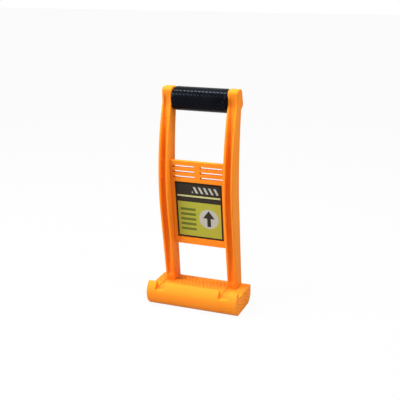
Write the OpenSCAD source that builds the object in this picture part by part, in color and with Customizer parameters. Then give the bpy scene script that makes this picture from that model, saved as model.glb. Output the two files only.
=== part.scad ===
// Panel carrier: a hand frame for carrying sheet boards, standing on its own foot.
// X runs across the carrier, -Y is the side that the board leans on, +Z is up.
// The origin is on the floor, in the middle of the carrier's plan.

/* [Foot] */
// Width of the foot
foot_w = 176; // [166:1:200]
// Height of the shelf that the board's edge stands on
shelf_z = 33; // [31:0.5:36]
// Height of the crest of the front lip
lip_z = 45; // [43:0.5:46]
// Radius of the crest of the front lip
crest_r = 3; // [2:0.5:4]
// Radius of the rounded front of the foot
front_r = 26.5; // [26:0.5:28]
// Height of the centre of the rounded front
front_z = 23; // [20:0.5:23.5]
// How far the rounded front stands before the feet of the rails
front_reach = 55; // [52:0.5:60]
// Distance from the feet of the rails to where the lip meets the shelf
seat_d = 35.5; // [30:0.5:37]
// How far the foot runs back behind the fronts of the rails
back_reach = 29.5; // [28:0.5:34]
// Radius of the rounded heel at the back of the underside
heel_r = 19; // [14:0.5:24]
// Thickness of the walls of the foot
foot_wall = 3.5; // [2.5:0.25:4]
// Thickness of the ribs inside the foot
rib_t = 3; // [2:0.25:4]
// Distance from the middle rib to the upright ribs beside it
rib_pitch = 27; // [22:0.5:32]

/* [Rails] */
// Distance between the middles of the two rails
rail_pitch = 124; // [120:0.5:130]
// Width of a rail
rail_w = 19; // [18:0.5:21]
// Depth of a rail where it stands on the foot
rail_foot_d = 26.5; // [25:0.5:28]
// Depth of a rail at its waist
rail_waist_d = 36; // [32:0.5:38]
// How far the waist bows to the front
bow = 24; // [20:0.5:26]
// Height of the waist
waist_z = 228; // [215:1:240]
// Radius of the bend below the waist
bend_r = 400; // [340:10:460]
// Radius of the long arc above the waist, in front
upper_front_r = 425; // [400:5:460]
// Radius of the long arc above the waist, at the back
upper_back_r = 830; // [780:10:900]
// Height of the top of a rail's head
head_top_z = 401.5; // [399:0.5:404]
// How far the front of the head lies behind the front of the rail's foot
head_front = 2.5; // [1:0.5:4]
// Radius of the corners of the head
crown_r = 7; // [5:0.5:8]
// Distance between the middles of the head's two upper corners
crown_w = 11.5; // [10:0.5:13]
// How far the head's lower back corner lies behind its upper one
knob_d = 5.5; // [4:0.5:7]
// How far the head's lower back corner lies below its upper one
knob_drop = 20; // [18:0.5:22]
// Width of the flutes in the front and back of a rail
flute_w = 10.5; // [8:0.5:11]
// Depth of the flutes
flute_d = 10; // [6:0.5:11]
// Depth of a flute at its two ends
flute_end_d = 2; // [1:0.25:4]
// Length over which a flute runs out to each end
flute_run_l = 100; // [60:1:120]
// Distance from the top of the head down to the top of the front flute
flute_tip_drop = 14; // [12:0.5:24]
// Height of the lower end of a flute above the rail's foot
flute_rise = 14; // [10:0.5:25]

/* [Cross panel] */
// Length of the panel from its top edge to its bottom edge
panel_l = 164; // [155:1:172]
// Thickness of the panel
panel_t = 5; // [4:0.25:6]
// Height of the panel's top edge
panel_top_z = 273; // [260:1:280]
// How far the panel's top edge lies behind the fronts of the rails at the waist
panel_setback = 9.5; // [8:0.5:11]
// Tilt of the panel, its foot further back, in degrees
panel_tilt = 5.7; // [4:0.1:7]
// How far the bars between the slots stand out behind the panel
bar_d = 1.5; // [1:0.25:4]
// How far the bottom rim stands out behind the panel
rim_d = 5; // [3:0.5:7]
// Thickness of the bottom rim
rim_t = 3; // [2:0.25:4]
// Length of a slot
slot_l = 42; // [30:1:44]
// Height of a slot
slot_h = 4; // [2.5:0.25:5]
// Number of rows of slots
slot_rows = 3; // [1:1:3]
// Distance from one row of slots to the next
slot_pitch = 10; // [8:0.25:11]
// Distance from the panel's top edge to the middle of the first row
slot_drop = 10.7; // [9:0.1:13]
// Distance between the two columns of slots
slot_gap = 11.5; // [6:0.5:16]
// Width of the label recess
recess_w = 92; // [80:1:96]
// Length of the label recess
recess_l = 111; // [100:1:114]
// Depth of the label recess
recess_d = 2; // [1:0.1:3]
// Distance from the panel's top edge to the recess
recess_drop = 40; // [38:0.5:46]
// Thickness of the label card
card_t = 0.8; // [0.4:0.1:1]
// Gap round the label card in its recess
card_gap = 1; // [0.5:0.1:2]

/* [Handle] */
// Height of the middle of the handle
handle_z = 380; // [378:0.5:382]
// How far the middle of the handle lies behind the front of the rail's foot
handle_d = 17.5; // [16:0.5:19]
// Diameter of the rubber grip at its end collars
grip_dia = 42; // [38:0.5:44]
// Width of a smooth end collar
collar_w = 4; // [4:0.5:8]
// Rounding of the grip's two ends
collar_r = 3.5; // [1:0.5:3.5]
// How far the gripping surface lies below the collars
grip_sink = 0.5; // [0.2:0.1:1]
// Outer diameter of the handle tube
core_dia = 19; // [17:0.5:19.5]
// Wall of the handle tube
core_wall = 4; // [3:0.25:6]
// Depth of the sockets that hold the ends of the handle tube
socket_l = 10; // [9:0.5:12]
// Wall under the head of a handle screw
seat_wall = 2.25; // [1.5:0.25:2.5]

/* [Joints and fasteners] */
// Width of the tenon under a rail
tenon_w = 12; // [10:0.5:13]
// Depth of the tenon under a rail
tenon_d = 20; // [18:0.5:20.5]
// Length of the tenon under a rail
tenon_l = 24; // [22:0.5:25]
// Thickness of the walls of a tenon's socket
socket_wall = 3; // [2.5:0.25:3.5]
// How far the channels in the foot lie below the shelf
channel_d = 1.5; // [1:0.25:2]
// How far the panel's tongues reach into the rails
tongue_l = 2.5; // [1.5:0.25:3]
// Thickness of the panel's tongues
tongue_t = 3; // [2:0.25:3.5]
// How far the tongues stop short of the panel's corners
tongue_inset = 6; // [3:0.5:12]
// Clearance of every fit, on each side
fit = 0.15; // [0.1:0.05:0.25]
// Shank diameter of the screws
screw_dia = 4.8; // [4:0.1:5]
// Head diameter of the screws
screw_head_dia = 8; // [7:0.25:9]
// Head height of the screws
screw_head_h = 2.6; // [2:0.1:3]
// Length of a foot screw under its head
foot_screw_l = 20; // [16:0.5:22]
// Distance between the two screws of a tenon
screw_pitch = 9.6; // [9.4:0.1:9.8]
// Diameter of the washers
washer_dia = 9; // [8:0.25:9.25]
// Thickness of the washers
washer_t = 1; // [0.6:0.1:1.5]
// Width of the slot across a screw's head
drive_w = 1.4; // [1:0.1:2]
// Depth of that slot
drive_d = 1.3; // [0.8:0.1:1.6]

/* [Hidden] */
$fn = 64;
orange = [1.0, 0.55, 0.12];
black = [0.10, 0.10, 0.12];
steel = [0.72, 0.73, 0.75];
card = [0.66, 0.66, 0.24];
// Steps in a drawn arc
arc_steps = 16;
// How far every cut runs past the face that it breaks
overrun = 2;
// Places, measured from the fronts of the rails' feet
channel_z = shelf_z - channel_d;
inner_x = rail_pitch / 2 - rail_w / 2;
// Middles of the head's corners: upper front, upper back and lower back
crown_front = [head_front + crown_r, head_top_z - crown_r];
crown_back = crown_front + [crown_w, 0];
knob_c = crown_back + [knob_d, -knob_drop];
back_most = max(back_reach, knob_c.x + crown_r, handle_d + grip_dia / 2);
datum_y = (front_reach - back_most) / 2;
panel_y = panel_setback - bow;
tenon_y = (rail_foot_d - socket_wall) / 2;
tenon_end_z = channel_z - tenon_l;
hollow_z = channel_z - foot_wall;
foot_screw_y = tenon_y + tenon_d / 2 + socket_wall;
foot_screw_z = (tenon_end_z + hollow_z) / 2;
handle_screw_x = inner_x + socket_l / 2;
handle_seat_y = handle_d + core_dia / 2 + fit + seat_wall;
handle_screw_l = seat_wall + fit + core_wall;

// Points on an arc about c, without its last point
function arc(c, r, a0, a1) =
    [for (i = [0 : arc_steps - 1]) let (a = a0 + (a1 - a0) * i / arc_steps) c + r * [cos(a), sin(a)]];
function heading(v) = atan2(v.y, v.x);
// Angle, about c, of the point where a line from p touches the forward side of a circle
function touch(p, c, r) = heading(c - p) + 180 - acos(r / norm(c - p));

// Side outline of a rail: straight foot, bend, long upper arc up into the head
lower_front_c = [bend_r - bow, waist_z];
upper_front_c = [upper_front_r - bow, waist_z];
waist_back = rail_waist_d - bow;
lower_back_c = [waist_back + bend_r, waist_z];
upper_back_c = [waist_back + upper_back_r, waist_z];
// Angle, about c, of the point of a circle's forward side at the height z
function level(c, r, z) = 180 - asin((z - c.y) / r);
foot_front = [0, channel_z];
foot_back = [rail_foot_d, channel_z];
rail_front = concat([foot_front],
                    arc(lower_front_c, bend_r, touch(foot_front, lower_front_c, bend_r), 180),
                    arc(upper_front_c, upper_front_r, 180, level(upper_front_c, upper_front_r, handle_z)));
rail_back = concat(arc(upper_back_c, upper_back_r, level(upper_back_c, upper_back_r, handle_z), 180),
                   arc(lower_back_c, bend_r, 180, touch(foot_back, lower_back_c, bend_r)),
                   [foot_back]);
rail_side = concat(rail_front, rail_back);

// Side outline of the head, which runs down inside the rail
knob_a = atan2(knob_d, knob_drop);
knob_end_a = -60;
head_side = concat(arc(crown_front, crown_r, 180, 90),
                   arc(crown_back, crown_r, 90, knob_a),
                   arc(knob_c, crown_r, knob_a, knob_end_a),
                   [knob_c + crown_r * [cos(knob_end_a), sin(knob_end_a)],
                    [handle_d, knob_c.y - 2 * crown_r], [head_front, knob_c.y]]);

// Side outlines of the flutes: even depth in the middle, running out to both ends
flute_low_z = channel_z + flute_rise;
flute_top_z = head_top_z - flute_tip_drop;
flute_back_top_z = knob_c.y - 2 * crown_r;
function flute_depth(z, top_z) =
    let (run_share = min(z - flute_low_z, top_z - z, flute_run_l) / flute_run_l)
    flute_end_d + (flute_d - flute_end_d) * run_share;
// Place of a circle's forward side at the height z, and of a rail's outline at that height
function forward(c, r, z) = c.x - sqrt(r * r - pow(z - c.y, 2));
function outline(z, foot, bend_c, arc_c, arc_r) =
    let (a = touch(foot, bend_c, bend_r), t = bend_c + bend_r * [cos(a), sin(a)])
    z > waist_z ? forward(arc_c, arc_r, z)
    : z > t.y ? forward(bend_c, bend_r, z)
    : foot.x + (t.x - foot.x) * (z - foot.y) / (t.y - foot.y);
flute_steps = 2 * arc_steps;
function flute_heights(top_z) =
    [for (i = [0 : flute_steps]) flute_low_z + (top_z - flute_low_z) * i / flute_steps];
function flute_front_y(z) =
    min(outline(z, foot_front, lower_front_c, upper_front_c, upper_front_r), head_front)
    + flute_depth(z, flute_top_z);
function flute_back_y(z) =
    outline(z, foot_back, lower_back_c, upper_back_c, upper_back_r) - flute_depth(z, flute_back_top_z);
flute_front = concat([for (z = flute_heights(flute_top_z)) [flute_front_y(z), z]],
                     [[-front_reach, flute_top_z], [-front_reach, flute_low_z]]);
flute_back = concat([for (z = flute_heights(flute_back_top_z)) [flute_back_y(z), z]],
                    [[2 * back_most, flute_back_top_z], [2 * back_most, flute_low_z]]);

// Side outline of the foot: rounded front, crest, slope to the shelf, rounded heel
front_c = [front_r - front_reach, front_z];
crest_z = lip_z - crest_r;
crest_c = front_c + [-sqrt(pow(front_r - crest_r, 2) - pow(crest_z - front_z, 2)), crest_z - front_z];
seat_edge = [-seat_d, shelf_z];
crest_a = heading(crest_c - front_c);
slope_a = heading(seat_edge - crest_c) + acos(crest_r / norm(seat_edge - crest_c));
heel_c = [back_reach - heel_r, heel_r];
toe_a = 180 + asin(front_z / front_r);
foot_side = concat(arc(front_c, front_r, toe_a, crest_a),
                   arc(crest_c, crest_r, crest_a, slope_a),
                   [crest_c + crest_r * [cos(slope_a), sin(slope_a)], seat_edge, [back_reach, shelf_z]],
                   arc(heel_c, heel_r, 0, -90),
                   [[heel_c.x, 0]]);

// Side outline of the hollow between the sole and the shelf, open at the back
hollow_r = front_r - foot_wall;
hollow_low_a = 180 + asin((front_z - foot_wall) / hollow_r);
hollow_top_a = 180 - asin((hollow_z - front_z) / hollow_r);
hollow_side = concat(arc(front_c, hollow_r, hollow_low_a, hollow_top_a),
                     [front_c + hollow_r * [cos(hollow_top_a), sin(hollow_top_a)],
                      [back_reach + overrun, hollow_z], [back_reach + overrun, -overrun],
                      [heel_c.x, -overrun], [heel_c.x, foot_wall]]);

module placed() translate([0, datum_y, 0]) children();
module along_x(w) rotate([90, 0, 90]) linear_extrude(height = w, center = true) children();
module panel_place() translate([0, panel_y, panel_top_z]) rotate([panel_tilt, 0, 0]) children();
module handle_place() translate([0, handle_d, handle_z]) rotate([0, 90, 0]) children();
module tenon_place() for (s = [-1, 1]) translate([s * rail_pitch / 2, tenon_y, 0]) children();
// Screws come from the back and point to the front
module screw_place(x, y, z) translate([x, y, z]) rotate([90, 0, 0]) children();
module foot_screw_place() for (s = [-1, 1], t = [-1, 1])
    screw_place(s * rail_pitch / 2, foot_screw_y, foot_screw_z + t * screw_pitch / 2) children();
module handle_screw_place() for (s = [-1, 1])
    screw_place(s * handle_screw_x, handle_seat_y, handle_z) children();

// Box with its middle at c in X and Y and its underside at z
module block(c, w, d, z, h) translate([c.x - w / 2, c.y - d / 2, z]) cube([w, d, h]);

// Screw along +Z, with the seat under its head at zero
module screw(l) difference() {
    union() {
        cylinder(d = screw_dia, h = l);
        translate([0, 0, -screw_head_h]) cylinder(d = screw_head_dia, h = screw_head_h);
    }
    block([0, 0], drive_w, screw_head_dia + overrun, -screw_head_h - overrun, drive_d + overrun);
}

// Ribs inside the foot, and the blocks that run from the front to round the tenons' sockets
module foot_ribs() {
    for (i = [-1 : 1]) translate([i * rib_pitch, 0, 0]) along_x(rib_t) polygon(foot_side);
    for (s = [-1, 1])
        block([s * rail_pitch / 2, (foot_screw_y - front_reach) / 2], tenon_w + 2 * socket_wall,
              foot_screw_y + front_reach, 0, shelf_z);
}

module foot_shell() color(orange) placed() difference() {
    along_x(foot_w) polygon(foot_side);
    difference() {
        along_x(foot_w - 2 * foot_wall) polygon(hollow_side);
        foot_ribs();
    }
    // Channels from the front to the backs of the rails
    for (s = [-1, 1])
        translate([s * rail_pitch / 2 - rail_w / 2 - fit, -front_reach - overrun, channel_z])
            cube([rail_w + 2 * fit, front_reach + overrun + rail_foot_d + fit, lip_z]);
    tenon_place() block([0, 0], tenon_w + 2 * fit, tenon_d + 2 * fit, tenon_end_z - fit, tenon_l + overrun);
    foot_screw_place() translate([0, 0, -overrun]) cylinder(d = screw_dia + 2 * fit, h = foot_screw_l);
}

// Right-hand rail, which the left-hand one mirrors
module rail() difference() {
    union() {
        translate([rail_pitch / 2, 0, 0]) along_x(rail_w) {
            polygon(rail_side);
            polygon(head_side);
        }
        block([rail_pitch / 2, tenon_y], tenon_w, tenon_d, tenon_end_z, tenon_l + overrun);
    }
    // Flutes in the front and the back
    translate([rail_pitch / 2, 0, 0]) along_x(flute_w) {
        polygon(flute_front);
        polygon(flute_back);
    }
    // Groove for the panel's tongue
    panel_place()
        translate([inner_x - overrun, panel_t / 2 - tongue_t / 2 - fit, tongue_inset - panel_l - fit])
            cube([overrun + tongue_l + fit, tongue_t + 2 * fit, panel_l - 2 * tongue_inset + 2 * fit]);
    // Socket for the handle tube, and the way of its screw
    translate([inner_x - overrun, handle_d, handle_z]) rotate([0, 90, 0])
        cylinder(d = core_dia + 2 * fit, h = socket_l + overrun);
    screw_place(handle_screw_x, handle_seat_y, handle_z) {
        cylinder(d = screw_dia + 2 * fit, h = seat_wall + 2 * overrun);
        translate([0, 0, -2 * crown_r]) cylinder(d = screw_head_dia + 4 * fit, h = 2 * crown_r);
    }
    // Holes for the foot screws
    foot_screw_place() cylinder(d = screw_dia + 2 * fit, h = foot_screw_l);
}

module left_rail() color(orange) placed() mirror([1, 0, 0]) rail();
module right_rail() color(orange) placed() rail();

module cross_panel() color(orange) placed() panel_place() difference() {
    union() {
        block([0, panel_t / 2], 2 * (inner_x - fit), panel_t, -panel_l, panel_l);
        block([0, panel_t / 2], 2 * (inner_x + tongue_l), tongue_t, tongue_inset - panel_l,
              panel_l - 2 * tongue_inset);
        // Deep head, which the slots part into bars, and the rim behind the bottom edge
        block([0, panel_t + bar_d / 2], 2 * (inner_x - fit), bar_d, -recess_drop, recess_drop);
        block([0, panel_t + rim_d / 2], 2 * (inner_x - fit), rim_d, -panel_l, rim_t);
    }
    for (row = [0 : slot_rows - 1], s = [-1, 1])
        block([s * (slot_gap + slot_l) / 2, (panel_t + bar_d) / 2], slot_l, panel_t + bar_d + 2 * overrun,
              -slot_drop - row * slot_pitch - slot_h / 2, slot_h);
    block([0, recess_d / 2 - overrun / 2], recess_w, recess_d + overrun, -recess_drop - recess_l, recess_l);
}

module label_card() color(card) placed() panel_place()
    block([0, recess_d - card_t / 2], recess_w - 2 * card_gap, card_t,
          card_gap - recess_drop - recess_l, recess_l - 2 * card_gap);

module handle_tube() color(orange) placed() handle_place() difference() {
    cylinder(d = core_dia, h = 2 * (inner_x + socket_l - fit), center = true);
    cylinder(d = core_dia - 2 * core_wall, h = 2 * (inner_x + socket_l + overrun), center = true);
    for (s = [-1, 1])
        translate([0, 0, s * handle_screw_x]) rotate([-90, 0, 0])
            cylinder(d = screw_dia + 2 * fit, h = core_dia);
}

module grip_sleeve() color(black) placed() handle_place() {
    half_l = inner_x - fit;
    end_r = grip_dia / 2;
    mid_r = end_r - grip_sink;
    round_c = [end_r - collar_r, half_l - collar_r];
    rotate_extrude()
        polygon(concat([[core_dia / 2 + fit, -half_l]],
                       arc([round_c.x, -round_c.y], collar_r, -90, 0),
                       [[end_r, collar_w - half_l], [mid_r, collar_w - half_l + grip_sink],
                        [mid_r, half_l - collar_w - grip_sink], [end_r, half_l - collar_w]],
                       arc(round_c, collar_r, 0, 90),
                       [[round_c.x, half_l], [core_dia / 2 + fit, half_l]]));
}

module foot_screws() color(steel) placed() foot_screw_place()
    translate([0, 0, -washer_t]) screw(foot_screw_l);

module foot_washers() color(steel) placed() foot_screw_place()
    translate([0, 0, -washer_t]) difference() {
        cylinder(d = washer_dia, h = washer_t);
        translate([0, 0, -overrun]) cylinder(d = screw_dia + 2 * fit, h = washer_t + 2 * overrun);
    }

module handle_screws() color(steel) placed() handle_screw_place() screw(handle_screw_l);

foot_shell();
left_rail();
right_rail();
cross_panel();
label_card();
handle_tube();
grip_sleeve();
foot_screws();
foot_washers();
handle_screws();
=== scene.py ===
"""Looks of the panel carrier as an add-on: an operator for each group of pieces and one for the stage.

Lengths are in metres, in the frame of the packed solids: X across, -Y to the front, Z up.
"""

import math

import bmesh
import bpy
from mathutils import Matrix, Vector, geometry


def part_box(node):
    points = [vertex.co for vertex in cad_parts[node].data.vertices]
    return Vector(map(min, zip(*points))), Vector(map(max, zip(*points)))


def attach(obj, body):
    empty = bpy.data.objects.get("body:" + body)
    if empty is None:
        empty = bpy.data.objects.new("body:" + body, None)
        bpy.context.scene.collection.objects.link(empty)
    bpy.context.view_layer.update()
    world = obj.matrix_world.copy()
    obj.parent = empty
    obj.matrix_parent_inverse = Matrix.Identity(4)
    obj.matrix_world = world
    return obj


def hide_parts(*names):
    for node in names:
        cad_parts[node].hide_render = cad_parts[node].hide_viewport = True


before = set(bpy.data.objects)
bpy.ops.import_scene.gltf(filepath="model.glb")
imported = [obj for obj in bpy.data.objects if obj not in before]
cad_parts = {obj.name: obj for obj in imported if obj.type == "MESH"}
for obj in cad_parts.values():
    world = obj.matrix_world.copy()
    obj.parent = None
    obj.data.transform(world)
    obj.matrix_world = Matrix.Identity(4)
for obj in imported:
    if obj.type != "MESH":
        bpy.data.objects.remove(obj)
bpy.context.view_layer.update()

bl_info = {
    "name": "Panel carrier looks",
    "version": (1, 0, 0),
    "blender": (4, 5, 0),
    "location": "3D View > Sidebar > Carrier",
    "description": "Models the visible skins, finishes and stage of the panel carrier",
    "category": "Object",
}

MM = 0.001
FOOT_LOW, FOOT_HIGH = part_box("foot_shell")
RAIL_LOW, RAIL_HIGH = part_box("right_rail")
GRIP_LOW, GRIP_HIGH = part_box("grip_sleeve")
GRIP_MIDDLE = (GRIP_LOW + GRIP_HIGH) / 2
SCREWS_LOW, SCREWS_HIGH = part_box("handle_screws")
# The outlines are measured in Y from the fronts of the rails' feet
FRONT_REACH = 55 * MM
FEET_Y = FOOT_LOW.y + FRONT_REACH
HANDLE_D = GRIP_MIDDLE.y - FEET_Y
SIDES = (-1, 1)
AXIS_X = Vector((1, 0, 0))
AXIS_Z = Vector((0, 0, 1))
# Stands a flat shape upright, its face to the front
STAND = Matrix.Rotation(math.pi / 2, 4, "X")
WELD = 0.001 * MM
# Half the gap between two cuts that part two heights at one place
HAIR = 0.05 * MM
# Edges whose faces meet at a sharper angle than this are rounded
CORNER = math.radians(40)
# Tread on the foot's ends: side outline in millimetres, back from the rails' feet and up, then its middle
END_TREAD = ((-39, 5), (9, 5), (18.5, 9.5), (24.5, 19), (24.5, 28.5), (-46.5, 28.5), (-48.5, 24), (-47, 13))
END_MIDDLE = Vector((-12, 17)) * MM


# Settings


def setting(kind, convert=None, **options):
    """A kind of setting: a function of its name, description and default."""

    def made(name, text, value):
        default = convert(value) if convert else value
        return kind(name=name, description=text, default=default, **options)

    return made


number = setting(bpy.props.FloatProperty)
count = setting(bpy.props.IntProperty, min=1)
share = setting(bpy.props.FloatProperty, min=0, max=1, subtype="FACTOR")
angle = setting(bpy.props.FloatProperty, convert=math.radians, subtype="ANGLE")
length = setting(bpy.props.FloatProperty, convert=lambda size: size * MM, unit="LENGTH", precision=5)
colour = setting(bpy.props.FloatVectorProperty, size=3, min=0, max=1, subtype="COLOR")


def group(kind, name):
    """A group of settings."""
    return bpy.props.PointerProperty(type=kind, name=name, description=kind.__doc__)


class FootSettings(bpy.types.PropertyGroup):
    """Sizes of the foot and its tread."""

    width: length("Width", "Width of the foot", (FOOT_HIGH.x - FOOT_LOW.x) / MM)
    shelf_z: length("Shelf height", "Height of the shelf", 33)
    lip_z: length("Lip height", "Height of the crest of the lip", FOOT_HIGH.z / MM)
    crest_r: length("Crest radius", "Radius of the crest of the lip", 3)
    front_r: length("Front radius", "Radius of the rounded front", 26.5)
    front_z: length("Front centre height", "Height of the centre of the rounded front", 23)
    seat_d: length("Seat depth", "From the rails' feet to where the lip meets the shelf", 35.5)
    back_reach: length("Back reach", "How far the foot runs back", (FOOT_HIGH.y - FEET_Y) / MM)
    back_r: length("Back rounding", "Rounding of the shelf's back edge", 1)
    heel_r: length("Heel radius", "Radius of the rounded heel", 19)
    wall: length("Wall", "Thickness of the walls", 3.5)
    rib_t: length("Rib", "Thickness of the ribs", 3)
    rib_pitch: length("Rib pitch", "Distance between the ribs", 27)
    socket_w: length("Socket width", "Width of the block round a rail's tenon", 18)
    socket_back: length("Socket back", "Back of that block behind the rails' fronts", 24.75)
    channel_w: length("Channel width", "Width of a channel", 19.3)
    channel_z: length("Channel height", "Height of the channels' floors", 31.5)
    channel_back: length("Channel back", "Back end of a channel", 26.65)
    channel_draft: length("Channel draft", "Slant of a channel's walls", 0.25)
    channel_soft: length("Channel edge", "Width of the softened edge of a channel", 0.7)
    channel_drop: length("Channel edge drop", "How far that edge is lowered", 0.3)
    end_r: length("End rounding", "Rounding of the edges of the end faces", 0.8)
    tread_pitch: length("Tread pitch", "Distance between the diamonds of the tread", 7.3)
    tread_rise: share("Tread rise", "Rise of a diamond as a share of its half width", 0.16)
    tread_stretch: number("Tread stretch", "Length of a diamond from front to back, in widths", 2.4)
    tread_edge: length("Tread edge", "Plain edge round the tread of the shelf", 1.6)
    tread_root: length("Tread root", "How deep the tread's root lies in the foot", 0.5)


class RailSettings(bpy.types.PropertyGroup):
    """Sizes of the two rails."""

    pitch: length("Pitch", "Distance between the middles of the rails", 124)
    width: length("Width", "Width of a rail", (RAIL_HIGH.x - RAIL_LOW.x) / MM)
    foot_d: length("Foot depth", "Depth of a rail at its foot", 26.5)
    waist_d: length("Waist depth", "Depth of a rail at its waist", 36)
    bow: length("Bow", "How far the waist bows to the front", 24)
    waist_z: length("Waist height", "Height of the waist", 228)
    bend_r: length("Bend radius", "Radius of the bend below the waist", 400)
    upper_front_r: length("Upper front radius", "Radius of the long arc above the waist, in front", 425)
    upper_back_r: length("Upper back radius", "Radius of the long arc above the waist, at the back", 830)
    head_top_z: length("Head height", "Height of the top of a head", RAIL_HIGH.z / MM)
    head_front: length("Head front", "Front of a head behind the foot's front", 2.5)
    crown_r: length("Head corners", "Radius of the corners of a head", 7)
    crown_w: length("Head top", "Distance between the middles of the upper corners", 11.5)
    knob_d: length("Knob depth", "How far the lower back corner lies behind the upper one", 5.5)
    knob_drop: length("Knob drop", "How far the lower back corner lies below the upper one", 20)
    edge_r: length("Edge rounding", "Rounding of the long edges", 2.4)
    flute_w: length("Flute width", "Width of a flute", 10.5)
    flute_d: length("Flute depth", "Depth of a flute in its middle", 10)
    flute_end_d: length("Flute end depth", "Depth of a flute at its ends", 2)
    flute_run_l: length("Flute run-out", "Length over which a flute runs out to each end", 100)
    flute_low_z: length("Flute foot", "Height of the lower end of a flute", 45.5)
    flute_tip_z: length("Flute top", "Height of the upper end of a front flute", 387.5)
    flute_back_z: length("Back flute top", "Height of the upper end of a back flute", 360.5)
    lip_r: length("Flute lip", "Rounding of a flute's lips", 0.7)
    floor_r: length("Flute floor", "Rounding of a flute's floor", 2)
    step: length("Step", "Distance between the rings along a rail", 4)
    screw_head_h: length("Screw head", "Height of the handle screws' heads", 2.6)
    screw_gap: length("Screw gap", "Gap round the handle screws' heads", 0.3)
    bore_d: length("Bore", "Depth of the bore behind a handle screw", 14)


class PanelSettings(bpy.types.PropertyGroup):
    """Sizes of the cross panel and its label."""

    width: length("Width", "Width between the rails", 104.7)
    long: length("Length", "Length from top to bottom", 164)
    thick: length("Thickness", "Thickness of the panel", 5)
    top_y: length("Top setback", "Y of the panel's top edge", -14.5)
    top_z: length("Top height", "Height of the panel's top edge", 273)
    tilt: angle("Tilt", "Tilt of the panel, its foot further back", 5.7)
    bar_d: length("Bar depth", "How far the bars between the slots stand out behind", 1.5)
    rim_d: length("Rim depth", "How far the bottom rim stands out behind", 5)
    rim_t: length("Rim thickness", "Thickness of the bottom rim", 3)
    slot_l: length("Slot length", "Length of a slot", 42)
    slot_h: length("Slot height", "Height of a slot", 4)
    slot_pitch: length("Slot pitch", "Distance between the rows of slots", 10)
    slot_drop: length("Slot drop", "From the top edge to the first row", 10.7)
    slot_gap: length("Slot gap", "Gap between the two columns", 11.5)
    slot_rows: count("Slot rows", "Number of rows of slots", 3)
    recess_w: length("Recess width", "Width of the label recess", 92)
    recess_l: length("Recess length", "Length of the label recess", 111)
    recess_d: length("Recess depth", "Depth of the label recess", 2)
    recess_drop: length("Recess drop", "From the top edge to the recess", 40)
    edge_r: length("Edge rounding", "Rounding of the edges", 0.7)
    card_gap: length("Card gap", "Gap round the card", 1)
    card_t: length("Card thickness", "Thickness of the card", 0.8)
    card_r: length("Card edge", "Rounding of the card's edges", 0.15)


class GripSettings(bpy.types.PropertyGroup):
    """Sizes of the rubber grip."""

    half: length("Half length", "Half the length of the grip", GRIP_HIGH.x / MM)
    radius: length("Radius", "Radius at the collars", (GRIP_HIGH.z - GRIP_LOW.z) / 2 / MM)
    bore_r: length("Bore radius", "Radius of the bore", 9.65)
    collar_w: length("Collar", "Width of an end collar", 4)
    end_r: length("End rounding", "Rounding of the grip's two ends", 3.3)
    edge_r: length("Edge rounding", "Rounding of the collars", 0.5)
    sink: length("Sink", "Depth of the ground between the diamonds", 0.15)
    raise_d: length("Diamond rise", "Rise of a diamond", 0.5)
    slope_w: length("Diamond slope", "Width of a diamond's sloping side", 0.6)
    around: count("Around", "Diamonds round the grip", 18)
    along: count("Along", "Diamonds along the grip", 14)


class FinishSettings(bpy.types.PropertyGroup):
    """Colours of the finishes."""

    orange: colour("Orange", "Body colour of the moulded plastic", (0.95, 0.285, 0.022))
    orange_deep: colour("Deep orange", "Deeper tone of the moulded plastic", (0.92, 0.260, 0.018))
    rubber: colour("Rubber", "Colour of the grip", (0.0005, 0.0006, 0.0009))
    # Paler colour of the raised diamond tops: partly dust, partly painted top light
    rubber_dust: colour("Rubber dust", "Colour of the dust on the diamonds", (0.0035, 0.004, 0.0055))
    zinc: colour("Zinc", "Colour of the screws", (0.62, 0.63, 0.66))
    zinc_warm: colour("Warm zinc", "Warm tone of the plating", (0.66, 0.62, 0.52))
    charcoal: colour("Charcoal", "Dark print of the label", (0.030, 0.025, 0.018))
    border: colour("Border", "Dark border of the label", (0.020, 0.013, 0.006))
    olive: colour("Olive", "Field of the label", (0.42, 0.42, 0.045))
    olive_pale: colour("Pale olive", "Rules of the label", (0.56, 0.56, 0.24))
    leaf: colour("Leaf", "Dark green bars of the label", (0.13, 0.16, 0.022))
    paper: colour("Paper", "Pale disc of the label", (0.46, 0.47, 0.41))


class StageSettings(bpy.types.PropertyGroup):
    """Camera, lamps and floor."""

    azimuth: angle("Azimuth", "Turn of the camera about the object", 22.13)
    elevation: angle("Elevation", "Height of the camera as an angle", 18.02)
    roll: angle("Roll", "Roll of the camera", -0.86)
    distance: length("Distance", "From the camera to its target", 1450)
    look_y: length("Look at Y", "Y of the camera's target", FEET_Y / MM)
    look_z: length("Look at height", "Height of that target", 198.6)
    lens: number("Lens", "Focal length in millimetres on a 36 mm sensor", 71.84)
    floor_size: length("Floor", "Side of the floor", 12000)
    floor_white: share("Floor white", "Share of plain white in what the camera sees of the floor", 0.955)
    floor_tone: share("Floor tone", "Tone of the floor", 0.5)
    world_fill: number("World fill", "Strength of the light from all round", 0.22)
    top_power: number("Top lamp", "Power of the overhead lamp in watts", 28.0)
    top_w: length("Top width", "Width of the overhead lamp", 1400)
    top_d: length("Top depth", "Depth of the overhead lamp", 300)
    left_power: number("Left lamp", "Power of the left lamp in watts", 31.0)
    left_azimuth: angle("Left azimuth", "Turn of the left lamp from the front", 55)
    left_elevation: angle("Left elevation", "Height of the left lamp as an angle", 38)
    right_power: number("Right lamp", "Power of the right lamp in watts", 11.5)
    right_azimuth: angle("Right azimuth", "Turn of the right lamp from the front", 75)
    right_elevation: angle("Right elevation", "Height of the right lamp as an angle", 45)
    side_w: length("Side lamps", "Side of the left and right lamps", 900)
    lamp_distance: length("Lamp distance", "From the lamps to the object", 1600)


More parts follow.
